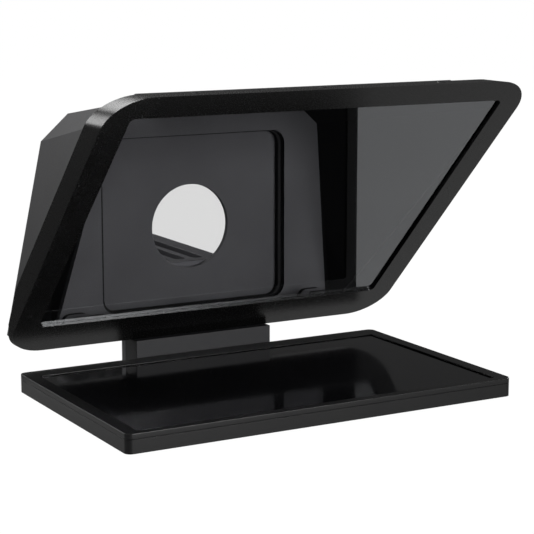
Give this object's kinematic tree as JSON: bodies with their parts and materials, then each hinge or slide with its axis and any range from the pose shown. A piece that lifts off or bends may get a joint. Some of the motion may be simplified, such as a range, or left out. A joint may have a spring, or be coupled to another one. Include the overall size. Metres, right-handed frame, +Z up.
{
  "type": "teleprompter",
  "caption": "Desktop teleprompter: flat display tray, angled beam-splitter glass in a skirted frame, light hood, lens plate and slotted camera shelf.",
  "frame": {"origin": "centre of the display tray's bottom face", "axes": "+Z up, +Y from the reader towards the camera, +X to the reader's right when facing the screen"},
  "size_m": [0.238, 0.3036, 0.1679],
  "materials": {
    "moulded_black": "fine matt texture",
    "frame_black": "fine matt texture",
    "hood_black": "fine matt texture",
    "baffle_black": "dead matt, to kill stray light",
    "screen_black": "polished cover glass over a dark panel",
    "beam_glass": "part-mirrored on the reader's side",
    "lcd_module": "matt back-lit panel",
    "circuit_board": "solder mask",
    "bright_steel": "nickel plated",
    "black_steel": "black oxide",
    "black_anodised": "bead blasted, black anodised aluminium",
    "brass_insert": "turned",
    "foam_rubber": "closed-cell foam",
    "knob_black": "ribbed grip"
  },
  "bodies": {
    "base": {"display_housing": "moulded_black", "display_bezel": "moulded_black", "screen_glass": "screen_black", "lcd_panel": "lcd_module", "display_board": "circuit_board", "usb_c_port": "bright_steel", "housing_screws": "black_steel", "neck_block": "moulded_black", "tripod_bush": "brass_insert", "neck_screws": "black_steel", "rear_guide": "black_anodised", "guide_screws": "black_steel", "glass_frame": "frame_black", "beam_splitter": "beam_glass", "glass_clips": "black_steel", "clip_screws": "black_steel", "frame_screws": "black_steel", "hood_shell": "hood_black", "roof_bar": "frame_black", "roof_lip": "hood_black", "light_baffle": "baffle_black", "lens_gasket": "foam_rubber", "plate_rail_left": "black_anodised", "plate_rail_right": "black_anodised", "rail_screws": "black_steel", "clamp_washers": "black_steel"},
    "lens_plate": {"lens_plate": "baffle_black"},
    "shelf": {"camera_shelf": "black_anodised"},
    "left_clamp": {"clamp_screw_left": "knob_black"},
    "right_clamp": {"clamp_screw_right": "knob_black"},
    "camera_slider": {"camera_washer": "bright_steel"},
    "camera_screw": {"camera_screw": "bright_steel"}
  },
  "joints": [
    {"name": "lens_plate_lift", "type": "slide", "parent": "base", "child": "lens_plate", "axis": [0, 0, 1], "range_m": [0, 0.105]},
    {"name": "shelf_height", "type": "slide", "parent": "base", "child": "shelf", "axis": [0, 0, 1], "range_m": [-0.03, 0]},
    {"name": "left_clamp_turn", "type": "hinge", "parent": "base", "child": "left_clamp", "pos_m": [-0.014, 0.0973, 0.014], "axis": [0, 1, 0], "continuous": true},
    {"name": "right_clamp_turn", "type": "hinge", "parent": "base", "child": "right_clamp", "pos_m": [0.014, 0.0973, 0.014], "axis": [0, 1, 0], "continuous": true},
    {"name": "camera_screw_slide", "type": "slide", "parent": "shelf", "child": "camera_slider", "axis": [0, 1, 0], "range_m": [-0.055, 0.04]},
    {"name": "camera_screw_turn", "type": "hinge", "parent": "camera_slider", "child": "camera_screw", "pos_m": [0, 0.171, 0.054], "axis": [0, 0, 1], "continuous": true}
  ]
}
